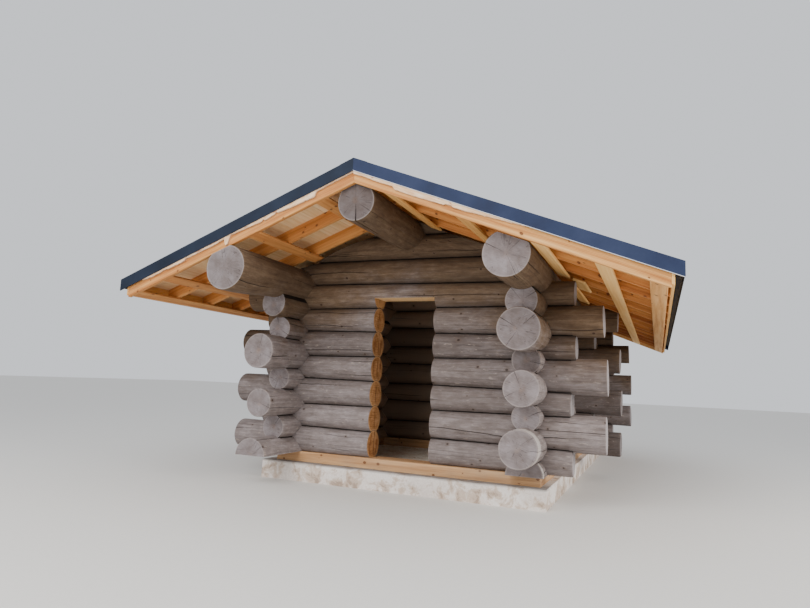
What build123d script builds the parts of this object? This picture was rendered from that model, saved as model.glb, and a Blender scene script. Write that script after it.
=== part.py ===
from build123d import *
import math
import os

# A small log bathhouse: round logs, scribed to each other and saddle-notched at the corners,
# on a concrete slab, under a gable roof of rafters, boards and ribbed metal sheet.
# Sizes are in millimetres. X runs along the front wall, Y runs back from it, Z is up.
# The origin is on the ground, under the middle of the roof.

# Walls
course = 300.0  # rise from one log of a wall to the next
half_span = 1510.0  # ridge line to the centre line of a side wall
front_room = 2600.0  # front wall to middle wall, between centre lines
back_room = 3370.0  # middle wall to rear wall, between centre lines
door_width = 770.0
lintel_course = 7  # the log whose underside is cut for the head of a doorway
lintel_cut = 50.0  # axis of a lintel log down to the head of the doorway
courses_to_plate = 7  # logs of a side wall, with the plate log that carries the rafters on top
scribe_gap = 0.3  # between a log and the groove or notch that fits over it

# Base
slab_height = 220.0
slab_left = 1790.0
slab_right = 1730.0
slab_ledge = 250.0  # slab beyond the centre lines of the front and rear walls
sill_height = 120.0
sill_width = 280.0

# Roof
pitch = 21.2  # degrees
front_overhang = 1600.0
rear_overhang = 1180.0
plate_seat = 214.0  # underside of the rafters above the level of the plate logs
left_plate_sink = 40.0  # axis of the left plate log below that level
right_plate_lift = 40.0  # axis of the right plate log above it
ridge_seat = 200.0  # axis of the ridge log up to the underside of the rafters
rafter_depth = 145.0
rafter_width = 50.0
rafter_bays = 14
eave_reach = 1390.0  # centre line of a side wall to the plumb cut of a rafter
barge_width = 50.0
fascia_thickness = 25.0
fascia_height = 140.0
sheathing_thickness = 20.0
plank_width = 145.0
plank_thickness = 22.0
eave_board_setback = 20.0  # plumb cut of the rafters to the edge of the eave board
sheet_overhang = 75.0  # roof metal past the fascia
sheet_thickness = 3.0
rib_height = 33.0
rib_base = 60.0
rib_top = 34.0
rib_bays = 18
trim_depth = 122.0
trim_flange = 110.0
trim_thickness = 3.0
trim_lip = 12.0  # folded back under the trim, against the boards behind it
cap_width = 150.0
wane_board_thickness = 24.0
wane_board_depth = 30.0  # of the rough board that shows below the verge trim, on average
wane_swing = 9.0  # of the long waves along its edge
wane_wave = 190.0
wane_ripple = 4.5  # of the shorter waves on them
wane_ripple_wave = 83.0
wane_steps = 24
wane_left_setback = 200.0  # plumb cut of the rafters to the end of the rough board
wane_right_setback = 1150.0
drip_depth = 55.0
joint_gap = 0.3  # between two pieces of one node that meet

# Levels and centre lines that follow from them
wall_base = slab_height + sill_height
roof_length = front_overhang + front_room + back_room + rear_overhang
roof_front = -roof_length / 2
roof_rear = roof_length / 2
front_wall = roof_front + front_overhang
middle_wall = front_wall + front_room
rear_wall = middle_wall + back_room
cross_walls = (front_wall, middle_wall, rear_wall)
slope_sin = math.sin(math.radians(pitch))
slope_cos = math.cos(math.radians(pitch))
door_height = (lintel_course - 0.5) * course - lintel_cut
rafter_reach = half_span + eave_reach
# underside of the rafters on the ridge line, above the sills
rafter_apex = courses_to_plate * course + plate_seat + half_span * slope_sin / slope_cos
roof_half_width = rafter_reach + fascia_thickness + sheet_overhang
eave_board_edge = rafter_reach - eave_board_setback
barge_face = roof_front + trim_lip + wane_board_thickness
barge_back = barge_face + barge_width
# from the underside of the rafters up to the top of the ribs
slope_height = rafter_depth + sheathing_thickness + sheet_thickness + rib_height


class Log:
    """A tapered round log that lies level along X or Y, with its start at the lower coordinate."""

    def __init__(self, along, across, level, start, end, start_d, end_d):
        self.along = along
        self.across = across
        self.level = level
        self.start = start
        self.end = end
        self.start_d = start_d
        self.end_d = end_d

    def round(self, grow=0.0):
        """The tapered log, or one that is bigger all round by grow, to cut what lies on it."""
        height = wall_base + self.level
        if self.along == "X":
            foot, lengthwise = Vector(self.start - grow, self.across, height), Vector(1, 0, 0)
        else:
            foot, lengthwise = Vector(self.across, self.start - grow, height), Vector(0, 1, 0)
        tip = foot + lengthwise * (self.end - self.start + 2 * grow)
        down = Vector(0, 0, -1)
        half = Polyline(
            foot,
            foot + down * (self.start_d / 2 + grow),
            tip + down * (self.end_d / 2 + grow),
            tip,
            close=True,
        )
        return revolve(make_face(half), Axis(foot, lengthwise))

    def box(self):
        """Lowest and highest corner of the cone."""
        radius = max(self.start_d, self.end_d) / 2
        lengthwise = (self.start, self.end)
        sideways = (self.across - radius, self.across + radius)
        x, y = (lengthwise, sideways) if self.along == "X" else (sideways, lengthwise)
        height = wall_base + self.level
        return tuple(zip(x, y, (height - radius, height + radius)))

    def meets(self, other):
        """Whether the two boxes overlap."""
        (low, high), (other_low, other_high) = self.box(), other.box()
        return all(low[i] < other_high[i] and other_low[i] < high[i] for i in range(3))


def block(x, y, z):
    """A box between two values on each axis."""
    return Pos(x[0], y[0], z[0]) * Box(x[1] - x[0], y[1] - y[0], z[1] - z[0], align=Align.MIN)


def under_rafters(x):
    """Height of the underside of the rafters at a distance x from the ridge line."""
    return wall_base + rafter_apex - abs(x) * slope_sin / slope_cos


def slope_point(side, x, lift, square=False):
    """A point lift above the underside of the rafters, measured square to the roof.

    It is plumb below or above x, or square to the slope from x where square is set.
    """
    if square:
        return (side * (x + lift * slope_sin), under_rafters(x) + lift * slope_cos)
    return (side * x, under_rafters(x) + lift / slope_cos)


def sloped(side, x, lift, y, square=False):
    """A flat piece of one roof slope, from x[0] to x[1], lift[0] to lift[1] and y[0] to y[1]."""
    corners = [
        slope_point(side, x[0], lift[0], square),
        slope_point(side, x[1], lift[0], square),
        slope_point(side, x[1], lift[1], square),
        slope_point(side, x[0], lift[1], square),
    ]
    wire = Polyline(*[(px, y[0], pz) for px, pz in corners], close=True)
    return extrude(make_face(wire), amount=y[1] - y[0], dir=(0, 1, 0))


def save(name, shapes):
    """Write one node, of one or several solids."""
    solids = [solid for shape in shapes for solid in shape.solids()]
    export_step(solids[0] if len(solids) == 1 else Compound(children=solids), f"parts/{name}.step")


# Base: one slab, and squared sill beams that lie on it under every wall

def build_base():
    slab_y = (front_wall - slab_ledge, rear_wall + slab_ledge)
    slab = block((-slab_left, slab_right), slab_y, (0, slab_height))
    half = sill_width / 2
    outer = half_span + half
    sill_z = (slab_height, wall_base)
    cross = [block((-outer, outer), (wall - half, wall + half), sill_z) for wall in cross_walls]
    side = []
    for left in (-outer, half_span - half):
        for start, end in zip(cross_walls, cross_walls[1:]):
            side.append(block((left, left + sill_width), (start + half, end - half), sill_z))
    save("concrete_slab", [slab])
    save("cross_sills", cross)
    save("side_sills", side)


# Logs of the side walls, from the half log on the sill up to the plate log:
# how far the front end passes the front wall, its diameter, and the same at the rear end

right_side_logs = [
    (340, 400, 460, 340),
    (650, 400, 330, 320),
    (300, 310, 620, 390),
    (560, 385, 320, 310),
    (330, 320, 680, 400),
    (740, 450, 350, 320),
    (630, 350, 600, 350),
    (1340, 460, 1020, 400),
]
left_side_logs = [
    (900, 400, 350, 340),
    (480, 300, 600, 370),
    (800, 335, 330, 310),
    (430, 295, 640, 380),
    (880, 410, 340, 320),
    (490, 300, 610, 370),
    (650, 335, 350, 320),
    (1580, 500, 1080, 480),
]
ridge_ends = (1500, 410, 1060, 400)


def length_log(across, level, ends):
    """A log that runs from front to rear past all three cross walls."""
    front_reach, front_d, rear_reach, rear_d = ends
    return Log("Y", across, level, front_wall - front_reach, rear_wall + rear_reach, front_d, rear_d)


# Logs of the cross walls, with butt and top ends turn about: reach past the side walls and
# diameter at the left end, then at the right end

cross_wall_logs = [
    (790, 370, 460, 300),
    (420, 300, 790, 390),
    (800, 370, 440, 300),
    (400, 300, 800, 390),
    (780, 360, 480, 300),
    (430, 300, 760, 350),
    (750, 350, 460, 290),
]
gable_log_d = 320.0
highest_gable_course = int((rafter_apex + gable_log_d / 2) / course + 0.5)
gable_courses = range(courses_to_plate + 1, highest_gable_course + 1)


def cross_log(wall, number, turned):
    """A log of a cross wall; turned swaps its ends."""
    left_reach, left_d, right_reach, right_d = cross_wall_logs[number - 1]
    if turned:
        left_reach, left_d, right_reach, right_d = right_reach, right_d, left_reach, left_d
    level = (number - 0.5) * course
    return Log("X", wall, level, -half_span - left_reach, half_span + right_reach, left_d, right_d)


def gable_log(wall, number):
    """A log of a gable, long enough to reach the roof slopes, or the plate logs where they come first."""
    level = (number - 0.5) * course
    reach = (rafter_apex - level + gable_log_d / 2) * slope_cos / slope_sin
    half = min(reach, half_span)
    return Log("X", wall, level, -half, half, gable_log_d, gable_log_d)


wall_names = ("front", "middle", "rear")
doorway_walls = ("front", "middle")
logs = {}
for side_name, side, table, plate_lift in (
    ("left", -1, left_side_logs, -left_plate_sink),
    ("right", 1, right_side_logs, right_plate_lift),
):
    for number, ends in enumerate(table):
        label = {0: "half_log", courses_to_plate: "plate_log"}.get(number, f"log_{number}")
        level = number * course + (plate_lift if number == courses_to_plate else 0)
        logs[f"{side_name}_{label}"] = length_log(side * half_span, level, ends)
logs["ridge_log"] = length_log(0.0, rafter_apex - ridge_seat, ridge_ends)
for wall_name, wall in zip(wall_names, cross_walls):
    for number in range(1, len(cross_wall_logs) + 1):
        lintel = number == lintel_course and wall_name in doorway_walls
        label = "lintel_log" if lintel else f"log_{number}"
        logs[f"{wall_name}_{label}"] = cross_log(wall, number, turned=wall_name == "middle")
    for number in gable_courses:
        logs[f"{wall_name}_gable_log_{number}"] = gable_log(wall, number)


def fitted(log, cutters):
    """A log after the axe: notched and scribed over what lies below it, then cut by the rest."""
    below = [other for other in logs.values() if other.level < log.level and other.meets(log)]
    return log.round() - [other.round(scribe_gap) for other in below] - cutters


def build_logs():
    far = roof_length
    under_sill = block((-far, far), (-far, far), (-far, wall_base))
    roof_wedge = [sloped(side, (0, far), (0, far), (-far, far)) for side in (-1, 1)]
    for y in ((-far, barge_back), (-barge_back, far)):
        roof_wedge += [sloped(side, (0, far), (-plank_thickness, far), y) for side in (-1, 1)]
    half_door = door_width / 2
    head = wall_base + door_height
    doorways = {
        name: block((-half_door, half_door), (wall - course, wall + course), (wall_base, head))
        for name, wall in zip(wall_names, cross_walls)
        if name in doorway_walls
    }
    nodes = {}
    for name, log in logs.items():
        cutters = []
        if log.box()[0][2] < wall_base:
            cutters.append(under_sill)
        if log.box()[1][2] > under_rafters(max(abs(log.box()[0][0]), abs(log.box()[1][0]))):
            cutters += roof_wedge
        wall_name = name.split("_")[0]
        if wall_name in doorways and "gable" not in name:
            cutters.append(doorways[wall_name])
        node = name
        if "gable" in name or name.startswith(("middle_log", "rear_log")):
            node = name.rsplit("_", 1)[0] + "s"
        nodes.setdefault(node, []).append(fitted(log, cutters))
    for node, shapes in nodes.items():
        save(node, shapes)


# Roof: rafters, barge rafters, boards and metal

def build_rafters():
    spacing = (-2 * barge_face - barge_width) / rafter_bays
    for side_name, side in (("left", -1), ("right", 1)):
        rafters = []
        for number in range(1, rafter_bays):
            y = barge_face + number * spacing
            rafters.append(sloped(side, (0, rafter_reach), (0, rafter_depth), (y, y + rafter_width)))
        save(f"{side_name}_rafters", rafters)
        lift = (-plank_thickness, rafter_depth)
        barges = [
            sloped(side, (0, rafter_reach), lift, (barge_face, barge_back)),
            sloped(side, (0, rafter_reach), lift, (-barge_back, -barge_face)),
        ]
        save(f"{side_name}_barge_rafters", barges)


# Planks under the rafters: distance of the middle from the ridge line, front end and rear end,
# measured back from the front wall; None stands for the barge rafter at that end

left_planks = [
    (390, None, -170),
    (half_span - 300, None, -170),
    (rafter_reach - 530, None, None),
]
right_planks = [
    (390, None, -170),
    (half_span - 370, None, -170),
    (half_span + 330, None, 70),
    (half_span + 490, 90, 760),
    (half_span + 320, 780, 2240),
    (rafter_reach - 515, None, None),
]


def build_planks():
    half = plank_width * slope_cos / 2
    lift = (-plank_thickness, 0)
    for side_name, side, table in (("left", -1, left_planks), ("right", 1, right_planks)):
        planks = []
        for middle, start, end in table:
            y = (
                barge_back if start is None else front_wall + start,
                -barge_back if end is None else front_wall + end,
            )
            planks.append(sloped(side, (middle - half, middle + half), lift, y, square=True))
        save(f"{side_name}_underside_planks", planks)
        edges = (eave_board_edge - 2 * half, eave_board_edge)
        save(f"{side_name}_eave_board", [sloped(side, edges, lift, (barge_back, -barge_back), square=True)])
        fascia_x = (rafter_reach, rafter_reach + fascia_thickness)
        fascia_lift = (rafter_depth - fascia_height, rafter_depth)
        fascia = sloped(side, fascia_x, fascia_lift, (barge_face, -barge_face))
        save(f"{side_name}_fascia", [fascia])


def build_covering():
    deck = rafter_depth + sheathing_thickness
    board_y = (roof_front + trim_thickness, roof_rear - trim_thickness)
    fascia_face = rafter_reach + fascia_thickness
    sheet_edge = roof_half_width - trim_thickness
    rib_pitch = (board_y[1] - board_y[0] - rib_base) / rib_bays
    for side_name, side in (("left", -1), ("right", 1)):
        save(f"{side_name}_sheathing", [sloped(side, (0, fascia_face), (rafter_depth, deck), board_y)])
        sheet = sloped(side, (0, sheet_edge), (deck, deck + sheet_thickness), board_y)
        ribs = []
        for number in range(rib_bays + 1):
            y = board_y[0] + number * rib_pitch
            ribs.append(rib(side, sheet_edge, deck + sheet_thickness, y))
        save(f"{side_name}_roof_sheet", [sheet + ribs])
        save(f"{side_name}_verge_trims", [verge_trim(side, end) for end in (-1, 1)])
        save(f"{side_name}_drip_edge", [drip_edge(side, deck)])
    cap_y = (roof_front, roof_rear)
    cap_lift = (slope_height + trim_thickness, slope_height + 2 * trim_thickness)
    cap = [sloped(side, (0, cap_width), cap_lift, cap_y) for side in (-1, 1)]
    save("ridge_cap", [cap[0] + cap[1]])


def rib(side, reach, base, y):
    """One standing rib of the metal sheet: a trapezium carried down the slope."""
    taper = (rib_base - rib_top) / 2
    middle = y + rib_base / 2
    foot = slope_point(side, 0, base)
    profile = Polyline(
        (0, middle - rib_base / 2, foot[1]),
        (0, middle + rib_base / 2, foot[1]),
        (0, y + rib_base - taper, foot[1] + rib_height / slope_cos),
        (0, y + taper, foot[1] + rib_height / slope_cos),
        close=True,
    )
    direction = Vector(side * slope_cos, 0, -slope_sin)
    return extrude(make_face(profile), amount=reach / slope_cos, dir=direction)


def verge_trim(side, end):
    """Folded metal over a gable edge: a face, a flange on the ribs and a small lip at the bottom."""
    top = slope_height + trim_thickness
    x = (joint_gap / 2, roof_half_width)

    def strip(lift, depth):
        y = sorted((end * roof_rear, end * (roof_rear - depth)))
        return sloped(side, x, lift, y)

    face = strip((top - trim_depth, top), trim_thickness)
    flange = strip((top - trim_thickness, top), trim_flange)
    lip = strip((top - trim_depth, top - trim_depth + trim_thickness), trim_lip)
    return face + flange + lip


def drip_edge(side, deck):
    """The folded strip that hangs from the edge of the sheet along the eave."""
    x = (roof_half_width - trim_thickness, roof_half_width)
    inner = trim_thickness + joint_gap
    y = (roof_front + inner, roof_rear - inner)
    return sloped(side, x, (deck - drip_depth, deck + sheet_thickness), y)


def wane_edge(x):
    """How far the rough lower edge of a wane-edged board rises or falls at x along the slope."""
    return wane_swing * math.sin(x / wane_wave) + wane_ripple * math.cos(x / wane_ripple_wave)


def wane_board(side, y, reach):
    """A board under the verge trim on a barge rafter, with its bark edge left on below."""
    top = slope_height + trim_thickness
    middle = top - trim_depth - wane_board_depth
    points = [slope_point(side, joint_gap, rafter_depth), slope_point(side, reach, rafter_depth)]
    for step in range(wane_steps, -1, -1):
        x = joint_gap + (reach - joint_gap) * step / wane_steps
        points.append(slope_point(side, x, middle + wane_edge(side * x)))
    outline = Polyline(*[(px, y[0], pz) for px, pz in points], close=True)
    return extrude(make_face(outline), amount=y[1] - y[0], dir=(0, 1, 0))


def build_wane_boards():
    boards = []
    for end in (-1, 1):
        y = sorted((end * (roof_rear - trim_lip), end * -barge_face))
        boards.append(wane_board(-1, y, rafter_reach - wane_left_setback))
        boards.append(wane_board(1, y, rafter_reach - wane_right_setback))
    save("wane_edge_boards", boards)


os.makedirs("parts", exist_ok=True)
build_base()
build_logs()
build_rafters()
build_planks()
build_covering()
build_wane_boards()
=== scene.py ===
# %% [markdown]
# A small log bathhouse: round logs that went grey in the weather, under a new roof of pine boards
# and dark metal. The solids of every piece come in as a fixed frame. This script measures them and
# puts a weathered, cracked or sawn surface in the place of each plain one, so nothing is placed by
# eye: a log, a rafter or a board goes exactly where its solid lies.

# %% Load the frame
import math

import bpy
import numpy as np
from mathutils import Matrix, Vector


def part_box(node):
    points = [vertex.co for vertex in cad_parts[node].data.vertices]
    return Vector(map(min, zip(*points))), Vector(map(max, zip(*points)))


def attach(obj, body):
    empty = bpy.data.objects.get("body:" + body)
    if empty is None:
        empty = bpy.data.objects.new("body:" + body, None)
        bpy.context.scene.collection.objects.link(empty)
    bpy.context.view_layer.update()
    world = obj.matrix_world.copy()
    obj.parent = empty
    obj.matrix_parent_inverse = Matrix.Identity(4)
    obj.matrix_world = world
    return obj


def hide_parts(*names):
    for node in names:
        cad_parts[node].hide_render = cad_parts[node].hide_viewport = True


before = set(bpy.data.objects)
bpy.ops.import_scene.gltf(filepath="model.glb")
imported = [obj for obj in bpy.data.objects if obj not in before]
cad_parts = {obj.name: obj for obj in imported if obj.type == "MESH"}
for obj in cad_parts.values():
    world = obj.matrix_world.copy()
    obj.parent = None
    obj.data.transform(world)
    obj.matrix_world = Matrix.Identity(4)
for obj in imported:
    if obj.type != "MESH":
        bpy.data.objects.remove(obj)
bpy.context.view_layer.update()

# %% [markdown]
# The picture is taken from low down, in front of the right-hand corner, with the camera tipped up
# a little. The camera is set first, so that every later step can be looked at from there. Its
# place, its three turns and its focal length were worked out from the edges of the building.

# %% Camera
camera_place = (2.7925, -9.4324, 1.2592)
camera_yaw, camera_pitch, camera_roll = 23.115, 7.399, -2.621
focal_pixels, picture_width = 596.62, 810
sensor_width = 36.0


def camera_turn(yaw, pitch, roll):
    """The camera's right, up and back directions as the columns of a matrix: yaw turns it about
    the vertical from +Y towards -X, pitch tips it up, and roll turns it about its own axis."""
    y, p, r = (math.radians(angle) for angle in (yaw, pitch, roll))
    right = np.array([math.cos(y), math.sin(y), 0.0])
    ahead = np.array([-math.sin(y) * math.cos(p), math.cos(y) * math.cos(p), math.sin(p)])
    up = np.cross(right, ahead)
    rolled_right = right * math.cos(r) - up * math.sin(r)
    rolled_up = right * math.sin(r) + up * math.cos(r)
    return Matrix(np.stack([rolled_right, rolled_up, -ahead], axis=1).tolist())


def added(name, data):
    """A new object with that data, at the origin of the scene."""
    made = bpy.data.objects.new(name, data)
    bpy.context.scene.collection.objects.link(made)
    return made


camera = added("camera", bpy.data.cameras.new("camera"))
camera.matrix_world = Matrix.Translation(camera_place) @ camera_turn(
    camera_yaw, camera_pitch, camera_roll
).to_4x4()
camera.data.sensor_width = sensor_width
camera.data.lens = focal_pixels * sensor_width / picture_width
bpy.context.scene.camera = camera
print("lens", round(camera.data.lens, 2), "mm")

# %% [markdown]
# Nature is uneven but not wild. All unevenness in shapes here comes from one source: value noise.
# Random heights sit at the whole-number points of a lattice, and the space between is blended
# smoothly. A whole-number hash gives the heights, so each run gives the same ones.

# %% Value noise
hash_factors = (73856093, 19349663, 83492791)
seed_factor, stir_factor = 2654435, 1274126177
stir_bits, height_bits = 0x7FFFFFFF, 0xFFFF


def noise(x, y, z, seed=0):
    """Smooth noise from -1 to 1: the hashed heights of the 8 lattice corners round each point,
    weighted by 3t^2 - 2t^3 along every axis."""
    spot = np.stack(np.broadcast_arrays(x, y, z), axis=-1).astype(float)
    corner = np.floor(spot).astype(np.int64)
    part = spot - corner
    smooth = part * part * (3 - 2 * part)
    total = np.zeros(spot.shape[:-1])
    for step in np.ndindex(2, 2, 2):
        mixed = np.bitwise_xor.reduce((corner + np.array(step)) * np.array(hash_factors), axis=-1)
        mixed = (mixed ^ (seed + 11) * seed_factor) & stir_bits
        mixed = (mixed ^ mixed >> 13) * stir_factor & stir_bits
        mixed = (mixed ^ mixed >> 15) & height_bits
        weight = np.where(step, smooth, 1 - smooth).prod(axis=-1)
        total += weight * (mixed / (height_bits / 2) - 1)
    return total


sample = noise(np.linspace(0, 50, 2000), 0.3, 0.7)
print("noise: mean", round(float(sample.mean()), 3), "spread", round(float(sample.std()), 3))

# %% [markdown]
# Every timber here is a closed tube: rings of points along its length, with the ends shut by
# smaller and smaller rings and one last flat lid. So one small class can hold all of them. It
# collects such grids as whole arrays and writes them into a mesh in one go. Each face takes its
# UV from one of two tables: unrolled round the piece for its sides, or flat for its ends.

# %% Grids to a mesh
smooth_angle = 38.0


class Piece:
    """One object, gathered from grids of points that are closed round their columns."""

    def __init__(self, name):
        self.name = name
        self.points, self.corners, self.sizes = [], [], []
        self.uv, self.finish, self.marks = [], [], []
        self.count = 0

    def add(self, points, side_uv, end_uv, finish, marks):
        """points is rows x columns x 3. The UV tables have one column more, where the round
        closes. finish is a number for each face, rows - 1 x columns: 0 takes the side's UV, all
        others take the end's. marks are values for each point, by name."""
        rows, columns = points.shape[:2]
        row, column = np.meshgrid(np.arange(rows - 1), np.arange(columns), indexing="ij")
        after = (column + 1) % columns
        quads = np.stack(
            [row * columns + column, row * columns + after,
             (row + 1) * columns + after, (row + 1) * columns + column], axis=-1)
        uv_corner = [(row, column), (row, column + 1), (row + 1, column + 1), (row + 1, column)]
        side, end = (np.stack([uv[r, c] for r, c in uv_corner], axis=2) for uv in (side_uv, end_uv))
        face_uv = np.where((finish > 0)[..., None, None], end, side)
        lids = [np.arange(columns)[::-1], (rows - 1) * columns + np.arange(columns)]
        self.points.append(points.reshape(-1, 3))
        self.corners += [face + self.count for face in (quads.ravel(), *lids)]
        self.sizes += [np.full((rows - 1) * columns, 4), np.full(2, columns)]
        self.uv += [face_uv.reshape(-1, 2), end_uv[0, :-1][::-1], end_uv[-1, :-1]]
        self.finish += [finish.ravel(), np.array([finish[0, 0], finish[-1, 0]])]
        shape = (rows, columns)
        self.marks.append({key: np.broadcast_to(v, shape).ravel() for key, v in marks.items()})
        self.count += rows * columns

    def build(self):
        """The mesh object, with smooth shading wherever two faces meet at a small angle."""
        mesh = bpy.data.meshes.new(self.name)
        points, corners = np.concatenate(self.points), np.concatenate(self.corners)
        sizes = np.concatenate(self.sizes)
        mesh.vertices.add(len(points))
        mesh.vertices.foreach_set("co", points.astype(np.float32).ravel())
        mesh.loops.add(len(corners))
        mesh.loops.foreach_set("vertex_index", corners.astype(np.int32))
        mesh.polygons.add(len(sizes))
        starts = np.concatenate([[0], np.cumsum(sizes)[:-1]])
        mesh.polygons.foreach_set("loop_start", starts.astype(np.int32))
        mesh.polygons.foreach_set("material_index", np.concatenate(self.finish).astype(np.int32))
        mesh.polygons.foreach_set("use_smooth", np.ones(len(sizes), bool))
        mesh.update(calc_edges=True)
        layer = mesh.uv_layers.new(name="Grain")
        layer.data.foreach_set("uv", np.concatenate(self.uv).astype(np.float32).ravel())
        for key in self.marks[0]:
            mark = mesh.attributes.new(key, "FLOAT", "POINT")
            values = np.concatenate([marks[key] for marks in self.marks])
            mark.data.foreach_set("value", values.astype(np.float32))
        mesh.set_sharp_from_angle(angle=math.radians(smooth_angle))
        return added(self.name, mesh)


def dress(piece, finishes, nodes):
    """Gives a piece its finishes in order, ties it to the building and hides what it stands for."""
    for finish in finishes:
        piece.data.materials.append(finish)
    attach(piece, "root")
    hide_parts(*nodes)
    return piece


def capped(start, body, end, shares):
    """Places of the rows of a closed tube, with their shares of the full ring: growing rings at
    the start, the body, and shrinking rings at the end. Also -1, 0 or 1 for those three."""
    many = len(shares)
    along = np.concatenate([np.full(many, start), body, np.full(many, end)])
    share = np.concatenate([shares, np.ones(len(body)), shares[::-1]])
    part = np.repeat([-1, 0, 1], [many, len(body), many])
    return along, share, part


def table_of(*columns):
    """Columns of numbers, blown up to one shape and set side by side as the last axis."""
    return np.stack(np.broadcast_arrays(*columns), axis=-1)


# %% [markdown]
# The frame's meshes are loose triangles, and one node can hold several solids, such as the
# thirteen rafters of a slope. Before anything can be measured they have to be told apart.
# Corners at the same place are merged, and then every corner takes the lowest number among its
# neighbours, again and again, until each solid has one number left.

# %% Solids of a node
def solids_of(node):
    """The corner points of each separate solid of a node, as arrays of rows of x, y and z."""
    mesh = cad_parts[node].data
    mesh.calc_loop_triangles()
    corners = np.empty(len(mesh.vertices) * 3, np.float32)
    mesh.vertices.foreach_get("co", corners)
    triangles = np.empty(len(mesh.loop_triangles) * 3, np.int32)
    mesh.loop_triangles.foreach_get("vertices", triangles)
    points, place = np.unique(np.round(corners.reshape(-1, 3), 5), axis=0, return_inverse=True)
    triangles = place.ravel()[triangles].reshape(-1, 3)
    label = np.arange(len(points))
    while True:
        lowest = np.repeat(label[triangles].min(axis=1), 3)
        spread = label.copy()
        np.minimum.at(spread, triangles.ravel(), lowest)
        spread = spread[spread]
        if (spread == label).all():
            break
        label = spread
    return [points[label == number].astype(float) for number in np.unique(label)]


rafter_solids = {side: solids_of(f"{side}_rafters") for side in ("left", "right")}
print("rafters:", {side: len(found) for side, found in rafter_solids.items()})

# %% [markdown]
# A few levels steer all the rest: the top of the sills, the rise from log to log, and the plane
# on the underside of the rafters, which the logs below were cut to.

# %% Levels and planes
course, nearly, touching, hair = 0.30, 0.001, 0.01, 0.0005
wall_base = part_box("cross_sills")[1][2]
one_rafter = rafter_solids["right"][0]
eave_end = one_rafter[one_rafter[:, 0] > one_rafter[:, 0].max() - nearly]
ridge_end = one_rafter[one_rafter[:, 0] < one_rafter[:, 0].min() + nearly]
roof_fall = (ridge_end[:, 2].min() - eave_end[:, 2].min()) / (eave_end[0, 0] - ridge_end[0, 0])
rafter_apex = ridge_end[:, 2].min() + ridge_end[0, 0] * roof_fall
roof_angle = math.atan(roof_fall)
down_slope = {
    side: np.array([way * math.cos(roof_angle), 0, -math.sin(roof_angle)])
    for side, way in (("left", -1), ("right", 1))
}
wall_lines = sorted(solid[:, 1].mean() for solid in solids_of("cross_sills"))
side_line = np.mean([corner[0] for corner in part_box("right_half_log")])
door_half = min(abs(solid[:, 0]).min() for solid in solids_of("front_log_3"))
lintel = solids_of("front_lintel_log")[0]
door_head = lintel[abs(lintel[:, 0]) < door_half - touching][:, 2].min()


def under_rafters(x):
    """Height of the underside of the rafters at x."""
    return rafter_apex - np.abs(x) * roof_fall


print("sill top", round(wall_base, 3), "apex", round(rafter_apex, 3),
      "pitch", round(math.degrees(roof_angle), 2), "walls at", np.round(wall_lines, 3))
print("doorway", round(2 * door_half, 3), "wide, head at", round(door_head, 3))

# %% [markdown]
# Every log is measured from its solid: which way it runs, the height of its axis, where it
# starts and ends, and its radius at both ends. The walls rise by half a course from one way of
# the logs to the other, so the axis can be read off that ladder even where a log is notched
# away. Only the three long logs that carry the roof lie where the rafters want them.

# %% Measure the logs
class Log:
    """A round log: its axis runs along x (0) or y (1)."""

    def __init__(self, node, solid):
        low, high = solid.min(axis=0), solid.max(axis=0)
        self.node = node
        self.axis = int(high[1] - low[1] > high[0] - low[0])
        cross = 1 - self.axis
        self.across = (low[cross] + high[cross]) / 2
        self.start, self.end = low[self.axis], high[self.axis]
        widest = (high[cross] - low[cross]) / 2
        if self.axis == 0:
            self.across = min(wall_lines, key=lambda wall: abs(wall - self.across))
        if "gable" in node:
            level = low[2] + widest
        elif "plate" in node or "ridge" in node:
            level = self.widest_height(solid, widest)
        else:
            level = high[2] - widest
        self.steps = round(2 * (level - wall_base) / course)
        on_the_ladder = wall_base + self.steps * course / 2
        self.level = level if "plate" in node or "ridge" in node else on_the_ladder
        self.radii = [self.radius_at(solid, at) for at in (self.start, self.end)]
        self.seed = sum(ord(letter) * (place + 3) for place, letter in enumerate(node))
        self.seed += int(1000 * abs(self.start))

    @property
    def ends(self):
        return self.start, self.end

    def widest_height(self, solid, widest):
        """Height at which the solid is widest, for logs whose top is cut by the roof."""
        edge = solid[np.abs(solid[:, 1 - self.axis] - self.across) > widest - 0.004]
        return edge[:, 2].mean()

    def radius_at(self, solid, at):
        """Radius of the end at that place: the largest distance of its corners from the axis."""
        face = solid[np.abs(solid[:, self.axis] - at) < 0.002]
        aside = face[:, 1 - self.axis] - self.across
        return float(np.hypot(aside, face[:, 2] - self.level).max())

    def radius(self, along):
        """Radius along the log, a straight taper, and 0 beyond its ends."""
        share = (along - self.start) / (self.end - self.start)
        size = self.radii[0] + (self.radii[1] - self.radii[0]) * share
        return np.where((share >= 0) & (share <= 1), size, 0.0)


def joined(found):
    """The highest gable logs come as two solids, parted by the ridge log: they are one log again."""
    kept = []
    for log in found:
        twin = [other for other in kept if "gable" in log.node and other.steps == log.steps]
        if twin:
            twin[0].start, twin[0].end = min(twin[0].start, log.start), max(twin[0].end, log.end)
        else:
            kept.append(log)
    return kept


log_nodes = sorted(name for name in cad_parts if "log" in name)
logs_of = {node: joined([Log(node, solid) for solid in solids_of(node)]) for node in log_nodes}
logs = [log for found in logs_of.values() for log in found]
print("logs:", len(logs), "radii", round(min(min(log.radii) for log in logs), 3), "to",
      round(max(max(log.radii) for log in logs), 3))
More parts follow.
